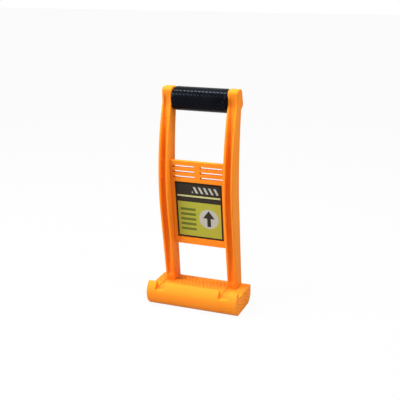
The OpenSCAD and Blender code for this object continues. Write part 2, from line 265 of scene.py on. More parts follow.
class CarrierSettings(bpy.types.PropertyGroup):
    """All settings of the panel carrier."""

    foot: group(FootSettings, "Foot")
    rail: group(RailSettings, "Rails")
    panel: group(PanelSettings, "Panel")
    grip: group(GripSettings, "Grip")
    finish: group(FinishSettings, "Finishes")
    stage: group(StageSettings, "Stage")


# Materials


def math_node(operation):
    """A method of a wire that adds a Math node."""

    def made(self, other):
        return self.nodes.node("ShaderNodeMath", {"operation": operation}, {0: self, 1: other})

    return made


class Wire:
    """A socket of a node tree. Sums on it add Math nodes."""

    def __init__(self, nodes, socket):
        self.nodes = nodes
        self.socket = socket

    def __rsub__(self, other):
        return self * -1 + other

    __add__ = __radd__ = math_node("ADD")
    __sub__ = math_node("SUBTRACT")
    __mul__ = __rmul__ = math_node("MULTIPLY")
    __mod__ = math_node("FLOORED_MODULO")
    __gt__ = math_node("GREATER_THAN")
    __lt__ = math_node("LESS_THAN")


class Nodes:
    """The node tree of a material or a world while its nodes are laid."""

    def __init__(self, owner):
        owner.use_nodes = True
        self.tree = owner.node_tree

    def feed(self, socket, value):
        """Links a wire to a socket, or sets the socket."""
        if isinstance(value, Wire):
            self.tree.links.new(value.socket, socket)
        else:
            socket.default_value = value

    def node(self, kind, settings=None, inputs=None, out=0):
        """Adds a node: its settings first, then the values or links of its sockets."""
        node = self.tree.nodes.new(kind)
        for key, value in (settings or {}).items():
            setattr(node, key, value)
        for key, value in (inputs or {}).items():
            self.feed(node.inputs[key], value)
        return Wire(self, node.outputs[out])

    def seen(self):
        """1 for rays from the camera and those that mirrors or glass send on, else 0."""
        rays = self.node("ShaderNodeLightPath").socket.node.outputs
        kinds = ("Is Camera Ray", "Is Glossy Ray", "Is Transmission Ray")
        camera, mirror, glass = (Wire(self, rays[kind]) for kind in kinds)
        return (camera + mirror + glass) > 0.5


class Finish(Nodes):
    """A procedural material while its nodes are laid."""

    def __init__(self, name, constants):
        self.material = bpy.data.materials.new(name)
        super().__init__(self.material)
        self.shader = self.tree.nodes["Principled BSDF"]
        for socket, value in constants.items():
            self.shader.inputs[socket].default_value = value

    def place(self, kind="Object"):
        """Object or UV coordinates."""
        return self.node("ShaderNodeTexCoord", out=kind)

    def split(self, spot):
        """The three parts of a place, as wires."""
        parts = self.node("ShaderNodeSeparateXYZ", inputs={0: spot}).socket.node.outputs
        return [Wire(self, part) for part in parts]

    def noise(self, spot, scale, detail=2.0):
        """A noise from 0 to 1."""
        return self.node("ShaderNodeTexNoise", inputs={"Vector": spot, "Scale": scale, "Detail": detail})

    def mix(self, factor, first, second):
        """A mix of two colours."""
        first, second = (c if isinstance(c, Wire) else (*c, 1) for c in (first, second))
        return self.node("ShaderNodeMix", {"data_type": "RGBA"}, {0: factor, 6: first, 7: second}, out=2)

    def stretch(self, value, low, high):
        """A value spread from its own range low to high over 0 to 1."""
        return self.node("ShaderNodeMapRange", {"clamp": True}, {0: value, 1: low, 2: high})

    def bump(self, height, distance, strength):
        """Feeds a fine relief to the shader."""
        inputs = {"Height": height, "Distance": distance, "Strength": strength}
        self.paint("Normal", self.node("ShaderNodeBump", inputs=inputs))

    def paint(self, socket, wire):
        """Feeds one of the shader's sockets."""
        self.feed(self.shader.inputs[socket], wire)


def moulded_orange(colours):
    """Satin moulded plastic: cloudy body tone, fine spark-eroded grain, faint handling sheen."""
    made = Finish("moulded_orange", {"Specular IOR Level": 0.03})
    spot = made.place()
    cloud = made.noise(spot, 16.0)
    flow = made.noise(spot, 55.0, 4.0)
    grain = made.noise(spot, 1500.0, 1.0)
    tone = made.stretch(cloud * 0.7 + flow * 0.3, 0.3, 0.7)
    made.paint("Base Color", made.mix(tone, colours.orange_deep, colours.orange))
    made.paint("Roughness", 0.40 + 0.08 * flow + 0.06 * grain)
    made.bump(grain, 0.08 * MM, 0.25)
    return made.material


def grip_rubber(colours):
    """Soft black rubber. Its raised diamonds are painted paler, partly a dusty bloom and partly painted
    light on the tops, with painted shade on the sunken ground between them.
    """
    made = Finish("grip_rubber", {"Specular IOR Level": 0.09, "Specular Tint": (0.62, 0.72, 1, 1)})
    spot = made.place()
    bloom = made.noise(spot, 45.0, 5.0)
    grain = made.noise(spot, 2400.0, 1.0)
    s = bpy.context.scene.panel_carrier.grip
    ground = s.radius - s.sink
    _, y, z = made.split(spot)
    y, z = y - GRIP_MIDDLE.y, z - GRIP_MIDDLE.z
    # Dust and painted top light begin at a fifth of a diamond's rise and are full at seven tenths, so the
    # tops are painted paler than the sunken ground
    low, high = ((ground + rise * s.raise_d) ** 2 for rise in (0.2, 0.7))
    raised = made.stretch(y * y + z * z, low, high)
    dust_and_top_light = raised * made.stretch(bloom, 0.2, 0.6)
    # Paler tops: part dust, part painted highlight; the darker ground between them is painted shade
    made.paint("Base Color", made.mix(dust_and_top_light, colours.rubber, colours.rubber_dust))
    made.paint("Roughness", 0.15 + 0.06 * bloom)
    made.bump(grain, 0.04 * MM, 0.2)
    return made.material


def zinc_plating(colours):
    """Zinc-plated steel with a faint warm mottle."""
    made = Finish("zinc_plating", {"Metallic": 1.0})
    spot = made.place()
    mottle = made.noise(spot, 420.0, 3.0)
    grain = made.noise(spot, 3000.0, 1.0)
    made.paint("Base Color", made.mix(made.stretch(mottle, 0.4, 0.7), colours.zinc, colours.zinc_warm))
    made.paint("Roughness", 0.28 + 0.16 * mottle)
    made.bump(grain, 0.02 * MM, 0.2)
    return made.material


def label_print(colours):
    """Film card: a printed charcoal head with slanted bars and an olive field with a disc and bars, inside
    a dark band round its edge.
    """
    made = Finish("label_print", {"Specular IOR Level": 0.12})
    u, v, _ = made.split(made.place("UV"))
    width, long = card_size(bpy.context.scene.panel_carrier.panel)

    def field(u0, u1, v0, v1):
        """A mask of a rectangle of the card."""
        return (u > u0) * (u < u1) * (v > v0) * (v < v1)

    def disc(u0, v0, radius):
        """A mask of a round disc."""
        du, dv = (u - u0) * width, (v - v0) * long
        return (du * du + dv * dv) < radius * radius

    def wedge(u0, v0, v1, slope):
        """A mask of an upright arrow head with its tip at v1."""
        lean = (v1 - v) * slope
        return (v > v0) * ((u - u0) < lean) * ((u0 - u) < lean)

    speck = made.noise(made.place(), 700.0)
    paint = made.mix(speck, colours.olive, [0.92 * c for c in colours.olive])
    # Bars, disc, arrow, head, rule and slanted bars, each printed over the last, and last the dark band
    # round the edge
    for mask, ink in (
        (field(0.09, 0.42, 0.12, 0.56) * ((v % 0.09) > 0.045), colours.leaf),
        (disc(0.70, 0.37, 19 * MM), colours.paper),
        (wedge(0.70, 0.38, 0.52, 0.9) + field(0.66, 0.74, 0.23, 0.385), colours.charcoal),
        (v > 0.655, colours.charcoal),
        (field(0.0, 1.0, 0.745, 0.775), colours.olive_pale),
        (field(0.36, 0.93, 0.82, 0.93) * (((u + v * 0.6) % 0.11) > 0.06), colours.paper),
        (1 - field(0.034, 0.966, 0.03, 0.97), colours.border),
    ):
        paint = made.mix(mask, paint, ink)
    made.paint("Base Color", paint)
    made.paint("Roughness", 0.34 + 0.12 * speck)
    made.bump(speck, 0.02 * MM, 0.2)
    return made.material


def white_floor(stage):
    """Pale floor: plain white to the eye, with the object's shadow kept on it."""
    made = Finish("pale_floor", {"Roughness": 0.9, "Specular IOR Level": 0.0})
    tone = made.noise(made.place(), 0.7)
    made.paint("Base Color", made.mix(tone, [0.99 * stage.floor_tone] * 3, [stage.floor_tone] * 3))
    glow = made.node("ShaderNodeEmission", inputs={"Color": (1, 1, 1, 1), "Strength": 1.0})
    plain = Wire(made, made.shader.outputs[0])
    both = made.node("ShaderNodeMixShader", inputs={0: made.seen() * stage.floor_white, 1: plain, 2: glow})
    made.feed(made.tree.nodes["Material Output"].inputs["Surface"], both)
    return made.material


# Modelling helpers


def verts_of(geom):
    """The vertices among an operator's results."""
    return [g for g in geom if isinstance(g, bmesh.types.BMVert)]


class Pen:
    """Draws a chain of edges where X is 0."""

    def __init__(self, bm, point):
        self.bm = bm
        self.tip = bmesh.ops.create_vert(bm, co=(0, *point))["vert"][0]
        self.chain = [self.tip]

    def line(self, point, steps=1):
        """A straight run to a point."""
        start = self.tip.co.copy()
        end = Vector((0, *point))
        for i in range(steps):
            self.tip = bmesh.ops.extrude_vert_indiv(self.bm, verts=[self.tip])["verts"][0]
            self.tip.co = start.lerp(end, (i + 1) / steps)
            self.chain.append(self.tip)

    def arc(self, centre, turn, steps):
        """An arc about a centre, by an angle."""
        for _ in range(steps):
            made = bmesh.ops.spin(
                self.bm, geom=[self.tip], cent=(0, *centre), axis=AXIS_X, angle=turn / steps, steps=1
            )
            self.tip = verts_of(made["geom_last"])[0]
            self.chain.append(self.tip)

    def points(self):
        """The chain's points. The mesh is freed."""
        made = [v.co.yz for v in self.chain]
        self.bm.free()
        return made


def faces_where(bm, test):
    """The faces whose middles pass a test."""
    return [f for f in bm.faces if test(f.calc_center_median())]


def edges_between(verts, closed):
    """The edges that join neighbours in a chain."""
    follow = verts[1:] + verts[:1] if closed else verts[1:]
    pairs = (set(v.link_edges) & set(w.link_edges) for v, w in zip(verts, follow))
    return [common.pop() for common in pairs]


def extrude_chain(bm, chain, closed):
    """Extrudes a chain of edges in place and returns the new chain, in the same order."""
    made = bmesh.ops.extrude_edge_only(bm, edges=edges_between(chain, closed))["geom"]
    fresh = set(verts_of(made))
    return [next(e.other_vert(v) for e in v.link_edges if e.other_vert(v) in fresh) for v in chain]


def loft(rings, closed):
    """A skin swept through rings of points, and its chains of vertices."""
    bm = bmesh.new()
    pen = Pen(bm, (0, 0))
    pen.line((1, 0), steps=len(rings[0]) - 1)
    if closed:
        bmesh.ops.contextual_create(bm, geom=[pen.chain[0], pen.tip])
    chains = [pen.chain]
    for _ in rings[1:]:
        chains.append(extrude_chain(bm, chains[-1], closed))
    for chain, ring in zip(chains, rings):
        for v, point in zip(chain, ring):
            v.co = point
    return bm, chains


def extrude_faces(bm, faces, keep=False):
    """Extrudes a region of faces in place and returns its new vertices."""
    made = bmesh.ops.extrude_face_region(bm, geom=faces)["geom"]
    if not keep:
        bmesh.ops.delete(bm, geom=faces, context="FACES")
    return verts_of(made)


def cut(bm, spot, normal, clear=False):
    """Cuts a mesh with a plane, and clears what lies before the plane if asked."""
    everything = bm.verts[:] + bm.edges[:] + bm.faces[:]
    bmesh.ops.bisect_plane(
        bm, geom=everything, dist=WELD, plane_co=spot, plane_no=normal, clear_outer=clear
    )


def round_corners(bm, radius, segments):
    """Rounds the outer edges whose faces meet at a corner."""
    bmesh.ops.recalc_face_normals(bm, faces=bm.faces)
    edges = [e for e in bm.edges if e.is_manifold and e.calc_face_angle_signed() > CORNER]
    bmesh.ops.bevel(
        bm, geom=edges, offset=radius, offset_type="OFFSET", segments=segments, profile=0.5,
        affect="EDGES", clamp_overlap=True, material=-1
    )


def quarter(steps):
    """Sines and cosines over a quarter turn."""
    turns = [i / steps * math.pi / 2 for i in range(steps + 1)]
    return [(math.sin(turn), math.cos(turn)) for turn in turns]


def about(middle, width):
    """The two ends of a width about its middle."""
    return middle - width / 2, middle + width / 2


def heading(y, z):
    """Angle of a direction in the YZ plane."""
    return math.atan2(z, y)


def placed(bm, name):
    """An object in the scene with the mesh of a bmesh, which is freed."""
    mesh = bpy.data.meshes.new(name)
    bm.to_mesh(mesh)
    bm.free()
    thing = bpy.data.objects.new(name, mesh)
    bpy.context.scene.collection.objects.link(thing)
    return thing


def sunk(piece, spot, radius, depth):
    """A piece's mesh with a round bore sunk into its back, down to a spot."""
    bm = bmesh.new()
    behind = Matrix.Translation(spot + Vector((0, depth / 2, 0))) @ STAND
    bmesh.ops.create_cone(
        bm, cap_ends=True, segments=32, radius1=radius, radius2=radius, depth=depth, matrix=behind
    )
    tool = placed(bm, "bore")
    mesh = tool.data
    drill = piece.modifiers.new("bore", "BOOLEAN")
    drill.operation = "DIFFERENCE"
    drill.object = tool
    made = bpy.data.meshes.new_from_object(piece.evaluated_get(bpy.context.evaluated_depsgraph_get()))
    piece.modifiers.remove(drill)
    bpy.data.objects.remove(tool)
    bpy.data.meshes.remove(mesh)
    return made


def finished(bm, name, skin, nodes=(), crease=35, bore=None):
    """Turns a bmesh into a piece of the carrier."""
    bmesh.ops.remove_doubles(bm, verts=bm.verts, dist=WELD)
    bmesh.ops.dissolve_degenerate(bm, edges=bm.edges, dist=WELD)
    bmesh.ops.recalc_face_normals(bm, faces=bm.faces)
    piece = placed(bm, name)
    mesh = piece.data
    if bore:
        piece.data = sunk(piece, *bore)
        bpy.data.meshes.remove(mesh)
        mesh = piece.data
        mesh.name = name
    mesh.shade_smooth()
    mesh.set_sharp_from_angle(angle=math.radians(crease))
    mesh.materials.append(skin)
    weights = piece.modifiers.new("face_weights", "WEIGHTED_NORMAL")
    weights.keep_sharp = True
    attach(piece, "root")
    if nodes:
        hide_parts(*nodes)
    return piece


def shared(maker):
    """A finish that is made once and shared by its pieces."""
    return bpy.data.materials.get(maker.__name__) or maker(bpy.context.scene.panel_carrier.finish)


# Foot


def foot_outline(s, inset):
    """Side outline of the foot, set in by a distance: rounded front, crest, slope, shelf, rounded heel."""
    front_c = Vector((s.front_r - FRONT_REACH, s.front_z))
    rise = s.lip_z - s.crest_r - s.front_z
    crest_c = front_c + Vector((-math.sqrt((s.front_r - s.crest_r) ** 2 - rise**2), rise))
    seat = Vector((-s.seat_d, s.shelf_z))
    heel_c = Vector((s.back_reach - s.heel_r, s.heel_r))
    back_c = Vector((s.back_reach - s.back_r, s.shelf_z - s.back_r))
    crest_a = heading(*(crest_c - front_c))
    slope_a = heading(*(seat - crest_c)) + math.acos(s.crest_r / (seat - crest_c).length)
    floor_a = math.pi - math.asin((s.channel_z - s.front_z) / s.front_r)
    sole_a = -math.asin((s.heel_r - s.wall) / s.heel_r)
    tiny_a = 2 * HAIR / s.heel_r
    tiny = Vector((HAIR, 0))
    shelf_z = s.shelf_z - inset
    toe_a = math.pi + math.asin((s.front_z - inset) / (s.front_r - inset))
    slope = s.crest_r - inset - (shelf_z - crest_c.y) * math.sin(slope_a)
    channel_end = Vector((s.channel_back, shelf_z))
    toe = front_c + (s.front_r - inset) * Vector((math.cos(toe_a), math.sin(toe_a)))
    pen = Pen(bmesh.new(), toe)
    pen.arc(front_c, floor_a - toe_a, steps=18)
    pen.arc(front_c, crest_a - floor_a, steps=8)
    pen.arc(crest_c, slope_a - crest_a, steps=10)
    pen.line((crest_c.x + slope / math.cos(slope_a), shelf_z), steps=2)
    pen.line(channel_end - tiny)
    pen.line(channel_end + tiny)
    pen.line((back_c.x, shelf_z))
    pen.arc(back_c, -math.pi / 2, steps=5)
    pen.line((s.back_reach - inset, s.channel_z - s.wall))
    pen.line((s.back_reach - inset, s.heel_r))
    pen.arc(heel_c, sole_a + tiny_a, steps=8)
    pen.arc(heel_c, -tiny_a, steps=1)
    pen.arc(heel_c, -math.pi / 2 - sole_a, steps=6)
    return pen.points()


def foot_columns(s, rail_pitch):
    """Places across the foot where its section changes."""
    half = s.width / 2
    inner, outer = about(rail_pitch / 2, s.channel_w)
    draft, soft = s.channel_draft, s.channel_soft
    right = [s.rib_t / 2, *about(s.rib_pitch, s.rib_t)]
    right += [inner - soft, inner, inner + draft, outer - draft, outer, outer + soft]
    right += [b + t for b in about(rail_pitch / 2, s.socket_w) for t in (-HAIR, HAIR)]
    right.append(half - s.wall)
    right = [(x, 0.0) for x in sorted(right)]
    right += [(half - s.end_r * (1 - n), s.end_r * (1 - c)) for n, c in quarter(6)]
    return [(-x, inset) for x, inset in reversed(right)] + right


def foot_body(s, rail_pitch):
    """The foot: a swept outline with rounded ends, channels let into its lip and pockets into its back."""
    inner, outer = about(rail_pitch / 2, s.channel_w)
    rings = []
    for x, inset in foot_columns(s, rail_pitch):
        ring = []
        for y, z in foot_outline(s, inset):
            if z > s.channel_z and y < s.channel_back:
                if inner + WELD < abs(x) < outer - WELD:
                    z = s.channel_z
                elif min(abs(abs(x) - inner), abs(abs(x) - outer)) < WELD:
                    z -= min(s.channel_drop, (z - s.channel_z) / 2)
            ring.append((x, y, z))
        rings.append(ring)
    bm, chains = loft(rings, closed=True)
    for end in (chains[0], chains[-1]):
        bmesh.ops.contextual_create(bm, geom=edges_between(end, True))
    foot_pockets(bm, s, rail_pitch)
    bmesh.ops.translate(bm, verts=bm.verts, vec=(0, FEET_Y, 0))
    return bm


def foot_pockets(bm, s, rail_pitch):
    """Hollows between the ribs, open at the back."""
    front_c = Vector((s.front_r - FRONT_REACH, s.front_z))
    inner_r = s.front_r - s.wall
    heel_y = s.back_reach - s.heel_r
    top = s.channel_z - s.wall
    block = about(rail_pitch / 2, s.socket_w)
    rib = about(s.rib_pitch, s.rib_t)
    cells = [(s.rib_t / 2, rib[0]), (rib[1], s.width / 2 - s.wall)]
    for low, high in cells:
        for side in SIDES:

            def behind(c):
                return low < side * c.x < high and c.y > heel_y and WELD < c.z < top

            for v in extrude_faces(bm, faces_where(bm, behind)):
                if v.co.z < s.wall - WELD:
                    v.co.y = heel_y
                elif block[0] < side * v.co.x < block[1]:
                    v.co.y = min(v.co.y, s.socket_back)
                else:
                    v.co.y = front_c.x - math.sqrt(max(inner_r**2 - (v.co.z - front_c.y) ** 2, 0))


def tread_patch(s, corners, stretch, place):
    """A patch of small raised diamonds inside a convex outline, closed underneath."""
    bm = bmesh.new()
    reach = max(Vector(c).length for c in corners)
    cells = 2 * math.ceil(reach * math.sqrt(2) / s.tread_pitch)
    size = cells * s.tread_pitch / math.sqrt(2) / 2
    turn = Matrix.Diagonal((*stretch, 1, 1)) @ Matrix.Rotation(math.pi / 4, 4, "Z")
    bmesh.ops.create_grid(bm, x_segments=cells, y_segments=cells, size=size, matrix=turn)
    for (u0, v0), (u1, v1) in zip(corners, corners[1:] + corners[:1]):
        cut(bm, (u0, v0, 0), (v1 - v0, u0 - u1, 0), clear=True)
    bm.normal_update()
    bmesh.ops.poke(bm, faces=bm.faces, offset=s.tread_rise, use_relative_offset=True)
    rim = [e for e in bm.edges if e.is_boundary]
    made = bmesh.ops.extrude_edge_only(bm, edges=rim)["geom"]
    bmesh.ops.translate(bm, verts=verts_of(made), vec=(0, 0, -s.tread_root))
    bmesh.ops.contextual_create(bm, geom=[e for e in bm.edges if e.is_boundary])
    bmesh.ops.transform(bm, matrix=place, verts=bm.verts)
    return bm


def tread_places(s, rail_pitch):
    """Names, outlines, stretches and places of the patches of tread."""
    inner, outer = about(rail_pitch / 2, s.channel_w)
    half = s.width / 2
    edge = s.tread_edge
    depth = (s.back_reach - s.back_r + s.seat_d) / 2 - edge
    middle_y = FEET_Y + (s.back_reach - s.back_r - s.seat_d) / 2
    strip = (half - s.end_r - outer) / 2 - edge
    strip_x = (half - s.end_r + outer) / 2

    def oblong(a, b):
        return [(-a, -b), (a, -b), (a, b), (-a, b)]

    def flat(x):
        return Matrix.Translation((x, middle_y, s.shelf_z))

    on_shelf, on_end = (1, s.tread_stretch), (s.tread_stretch, 1)
    yield "tread_middle", oblong(inner - edge, depth), on_shelf, flat(0)
    for side, name in zip(SIDES, ("left", "right")):
        yield "tread_strip_" + name, oblong(strip, depth), on_shelf, flat(side * strip_x)
        outline = [Vector(p) * MM - END_MIDDLE for p in END_TREAD]
        turn = Matrix.Rotation(math.pi / 2, 4, "Z") @ STAND
        if side < 0:
            turn = Matrix.Rotation(math.pi, 4, "Z") @ turn
            outline = [Vector((-p.x, p.y)) for p in reversed(outline)]
        place = Matrix.Translation((side * half, FEET_Y + END_MIDDLE.x, END_MIDDLE.y)) @ turn
        yield "tread_end_" + name, [tuple(p) for p in outline], on_end, place


class CARRIER_OT_foot(bpy.types.Operator):
    """Models the foot and its anti-slip tread"""

    bl_idname = "carrier.foot"
    bl_label = "Foot"

    def execute(self, context):
        settings = context.scene.panel_carrier
        s, rail_pitch = settings.foot, settings.rail.pitch
        plastic = shared(moulded_orange)
        finished(foot_body(s, rail_pitch), "foot", plastic, ["foot_shell"])
        for name, corners, stretch, place in tread_places(s, rail_pitch):
            finished(tread_patch(s, corners, stretch, place), name, plastic, crease=5)
        return {"FINISHED"}


# Rails


def rail_path(s, low_z):
    """Points up the front of a rail, round its head and down its back."""
    back_waist = s.waist_d - s.bow
    lower_front = Vector((s.bend_r - s.bow, s.waist_z))
    upper_front = Vector((s.upper_front_r - s.bow, s.waist_z))
    lower_back = Vector((back_waist + s.bend_r, s.waist_z))
    upper_back = Vector((back_waist + s.upper_back_r, s.waist_z))
    crown_front = Vector((s.head_front + s.crown_r, s.head_top_z - s.crown_r))
    crown_back = crown_front + Vector((s.crown_w, 0))
    knob = crown_back + Vector((s.knob_d, -s.knob_drop))
    knob_a, knob_end_a = math.atan2(s.knob_d, s.knob_drop), -math.pi / 3

    def touch(point, centre):
        """Angle where a line from a point touches the front of a bend."""
        away = centre - point
        return heading(*away) + math.pi - math.acos(s.bend_r / away.length)

    def on(centre, radius, turn):
        return centre + radius * Vector((math.cos(turn), math.sin(turn)))

    def steps(size):
        return max(2, math.ceil(abs(size) / s.step))

    foot, heel = Vector((0, low_z)), Vector((s.foot_d, low_z))
    start_a, end_a = touch(foot, lower_front), touch(heel, lower_back)
    start, end = on(lower_front, s.bend_r, start_a), on(lower_back, s.bend_r, end_a)
    neck_a = math.acos((s.head_front - upper_front.x) / s.upper_front_r)
    root = Vector((HANDLE_D, knob.y - 2 * s.crown_r))
    knob_end = on(knob, s.crown_r, knob_end_a)
    meets = geometry.intersect_line_sphere_2d(knob_end, root, upper_back, s.upper_back_r)
    nape = next(point for point in meets if point is not None)
    nape_a = heading(*(nape - upper_back))
    pen = Pen(bmesh.new(), foot)
    pen.line(start, steps((start - foot).length))
    pen.arc(lower_front, math.pi - start_a, steps(s.bend_r * (math.pi - start_a)))
    pen.arc(upper_front, neck_a - math.pi, steps(s.upper_front_r * (neck_a - math.pi)))
    pen.line((s.head_front, crown_front.y), steps=4)
    pen.arc(crown_front, -math.pi / 2, steps=8)
    pen.line((crown_back.x, s.head_top_z), steps=2)
    pen.arc(crown_back, knob_a - math.pi / 2, steps=8)
    pen.line(on(knob, s.crown_r, knob_a), steps=4)
    pen.arc(knob, knob_end_a - knob_a, steps=6)
    pen.line(nape, steps=2)
    pen.arc(upper_back, math.pi - nape_a, steps(s.upper_back_r * (math.pi - nape_a)))
    pen.arc(lower_back, end_a - math.pi, steps(s.bend_r * (end_a - math.pi)))
    pen.line(heel, steps((heel - end).length))
    return pen.points()


def flute_depth(s, z, tip_z):
    """Depth of a flute at a height: even in the middle, running out to the ends."""
    if not s.flute_low_z < z < tip_z:
        return 0.0
    run = min(z - s.flute_low_z, tip_z - z, s.flute_run_l) / s.flute_run_l
    return s.flute_end_d + (s.flute_d - s.flute_end_d) * run


def rail_section(s, depth):
    """Places across a rail and their depths below its outline, from one side to the other."""
    half, flute = s.width / 2, s.flute_w / 2
    lip = min(s.lip_r, depth / 2)
    floor = min(s.floor_r, depth / 2)
    left = [(-half + s.edge_r * (1 - c), s.edge_r * (1 - n)) for n, c in quarter(5)]
    left += [(-flute - s.lip_r * (1 - n), lip * (1 - c)) for n, c in quarter(4)]
    left += [(-flute + s.floor_r * (1 - c), depth - floor * (1 - n)) for n, c in quarter(4)]
    return left + [(0.0, depth)] + [(-x, d) for x, d in reversed(left)]


def rail_body(s, low_z, middle_x):
    """A rail: a fluted section swept up the front, over the head and down the back."""
    path = rail_path(s, low_z)
    top = max(range(len(path)), key=lambda i: path[i].y)
    rings = []
    for i, point in enumerate(path):
        run = path[min(i + 1, len(path) - 1)] - path[max(i - 1, 0)]
        inward = Vector((run.y, -run.x)).normalized()
        tip_z = s.flute_tip_z if i < top else s.flute_back_z
        ring = []
        for x, depth in rail_section(s, flute_depth(s, point.y, tip_z)):
            y, z = point + inward * depth
            ring.append((middle_x + x, FEET_Y + y, z))
        rings.append(ring)
    bm, chains = loft(rings, closed=False)
    for end in (0, -1):
        side = [chain[end] for chain in chains]
        bmesh.ops.contextual_create(bm, geom=[side[0], side[-1]])
        bmesh.ops.contextual_create(bm, geom=edges_between(side, True))
    sole = chains[0] + chains[-1][::-1]
    bmesh.ops.contextual_create(bm, geom=edges_between(sole, True))
    return bm


class CARRIER_OT_rails(bpy.types.Operator):
    """Models the two bowed rails with their flutes and block heads"""

    bl_idname = "carrier.rails"
    bl_label = "Rails"

    def execute(self, context):
        settings = context.scene.panel_carrier
        s = settings.rail
        plastic = shared(moulded_orange)
        head_r = (SCREWS_HIGH.z - SCREWS_LOW.z) / 2
        middle_z = (SCREWS_HIGH.z + SCREWS_LOW.z) / 2
        for side, name in zip(SIDES, ("left", "right")):
            body = rail_body(s, settings.foot.channel_z, side * s.pitch / 2)
            seat = Vector((side * (SCREWS_HIGH.x - head_r), SCREWS_HIGH.y - s.screw_head_h, middle_z))
            bore = (seat, head_r + s.screw_gap, s.bore_d)
            finished(body, "rail_" + name, plastic, [name + "_rail"], bore=bore)
        return {"FINISHED"}


# Panel and label


def panel_place(s):
    """From the panel's own plane, its top edge at zero and Z along it, to the carrier."""
    return Matrix.Translation((0, FEET_Y + s.top_y, s.top_z)) @ Matrix.Rotation(s.tilt, 4, "X")


def plate(width, low, high, front):
    """An upright rectangle that faces the front."""
    bm = bmesh.new()
    bmesh.ops.create_grid(bm, x_segments=1, y_segments=1, size=0.5, matrix=STAND)
    bmesh.ops.scale(bm, vec=(width, 1, high - low), verts=bm.verts)
    bmesh.ops.translate(bm, vec=(0, front, (high + low) / 2), verts=bm.verts)
    return bm


def panel_body(s):
    """The cross panel: a plate with rows of slots, a label recess, a deep head and a rim behind."""
    bm = plate(s.width, -s.long, 0, 0)
    slot_x = (s.slot_gap / 2, s.slot_gap / 2 + s.slot_l)
    rows = [-s.slot_drop - i * s.slot_pitch for i in range(s.slot_rows)]
    recess = (-s.recess_drop - s.recess_l, -s.recess_drop)
    bars, rim = (-s.recess_drop, 0), (-s.long, -s.long + s.rim_t)
    for x in (*slot_x, s.recess_w / 2):
        for side in SIDES:
            cut(bm, AXIS_X * side * x, AXIS_X)
    levels = [level for z in rows for level in about(z, s.slot_h)]
    for z in (*levels, *recess, *bars, *rim):
        cut(bm, AXIS_Z * z, AXIS_Z)

    def in_slot(c):
        return slot_x[0] < abs(c.x) < slot_x[1] and any(abs(c.z - z) < s.slot_h / 2 for z in rows)

    def in_recess(c):
        return abs(c.y) < WELD and abs(c.x) < s.recess_w / 2 and recess[0] < c.z < recess[1]

    def behind(span):
        return faces_where(bm, lambda c: abs(c.y - s.thick) < WELD and span[0] < c.z < span[1])

    bmesh.ops.delete(bm, geom=faces_where(bm, in_slot), context="FACES")
    for v in extrude_faces(bm, bm.faces[:], keep=True):
        v.co.y = s.thick
    bmesh.ops.recalc_face_normals(bm, faces=bm.faces)
    front, head, foot = faces_where(bm, in_recess), behind(bars), behind(rim)
    for faces, y in ((front, s.recess_d), (head, s.thick + s.bar_d), (foot, s.thick + s.rim_d)):
        for v in extrude_faces(bm, faces):
            v.co.y = y
    round_corners(bm, s.edge_r, segments=3)
    bmesh.ops.transform(bm, matrix=panel_place(s), verts=bm.verts)
    return bm


def card_size(s):
    """Width and length of the label card."""
    return s.recess_w - 2 * s.card_gap, s.recess_l - 2 * s.card_gap


def label_body(s):
    """The label card with its own flat map."""
    width, long = card_size(s)
    high = -s.recess_drop - s.card_gap
    bm = plate(width, high - long, high, s.recess_d - s.card_t)
    for v in extrude_faces(bm, bm.faces[:], keep=True):
        v.co.y = s.recess_d
    round_corners(bm, s.card_r, segments=2)
    flat = bm.loops.layers.uv.new("print")
    for f in bm.faces:
        for loop in f.loops:
            co = loop.vert.co
            loop[flat].uv = (co.x / width + 0.5, (co.z - high) / long + 1)
    bmesh.ops.transform(bm, matrix=panel_place(s), verts=bm.verts)
    return bm


class CARRIER_OT_panel(bpy.types.Operator):
    """Models the slotted cross panel and the label card in its recess"""

    bl_idname = "carrier.panel"
    bl_label = "Panel and label"

    def execute(self, context):
        s = context.scene.panel_carrier.panel
        finished(panel_body(s), "panel", shared(moulded_orange), ["cross_panel"])
        finished(label_body(s), "label", shared(label_print), ["label_card"])
        return {"FINISHED"}


# Grip


def grip_profile(s):
    """Places along the grip and their radii, from one bore edge to the other."""
    ground = s.radius - s.sink
    edge = -s.half + s.collar_w
    soft = 0.3 * s.edge_r
    left = [(-s.half, s.bore_r)]
    left += [(-s.half + s.end_r * (1 - n), s.radius - s.end_r * (1 - c)) for n, c in reversed(quarter(4))]
    left += [(edge - s.edge_r, s.radius), (edge - soft, s.radius - soft), (edge, ground)]
    knurl = [(edge + i / s.along * -2 * edge, ground) for i in range(1, s.along)]
    return left + knurl + [(-x, r) for x, r in reversed(left)]


def grip_diamonds(bm, s, field):
    """Turns a field of square faces into raised diamonds whose tops follow the grip's round."""
    ground = s.radius - s.sink
    squares = set(field)
    inner = [e for e in bm.edges if len(e.link_faces) == 2 and squares.issuperset(e.link_faces)]
    hubs = bmesh.ops.poke(bm, faces=field)["verts"]
    for v in hubs:
        v.co.yz = v.co.yz.normalized() * ground
    bmesh.ops.dissolve_edges(bm, edges=inner, use_verts=False)
    hubs = {v for v in hubs if v.is_valid}
    diamonds = [f for f in bm.faces if len(f.verts) == 4 and not hubs.isdisjoint(f.verts)]
    bm.normal_update()
    bmesh.ops.inset_individual(bm, faces=diamonds, thickness=s.slope_w, depth=s.raise_d)
    # The material index marks the tops while they are divided
    for f in diamonds:
        f.material_index = 1
    rims = [e for e in bm.edges if any(f.material_index for f in e.link_faces)]
    bmesh.ops.subdivide_edges(bm, edges=rims, cuts=3, use_grid_fill=True)
    tops = [f for f in bm.faces if f.material_index]
    for v in {v for f in tops for v in f.verts}:
        v.co.yz = v.co.yz.normalized() * (ground + s.raise_d)
    for f in tops:
        f.material_index = 0


def runs_round(edge):
    """Whether an edge runs round the grip's axis."""
    start, end = (v.co for v in edge.verts)
    return abs(start.x - end.x) < WELD and abs(start.yz.length - end.yz.length) < WELD


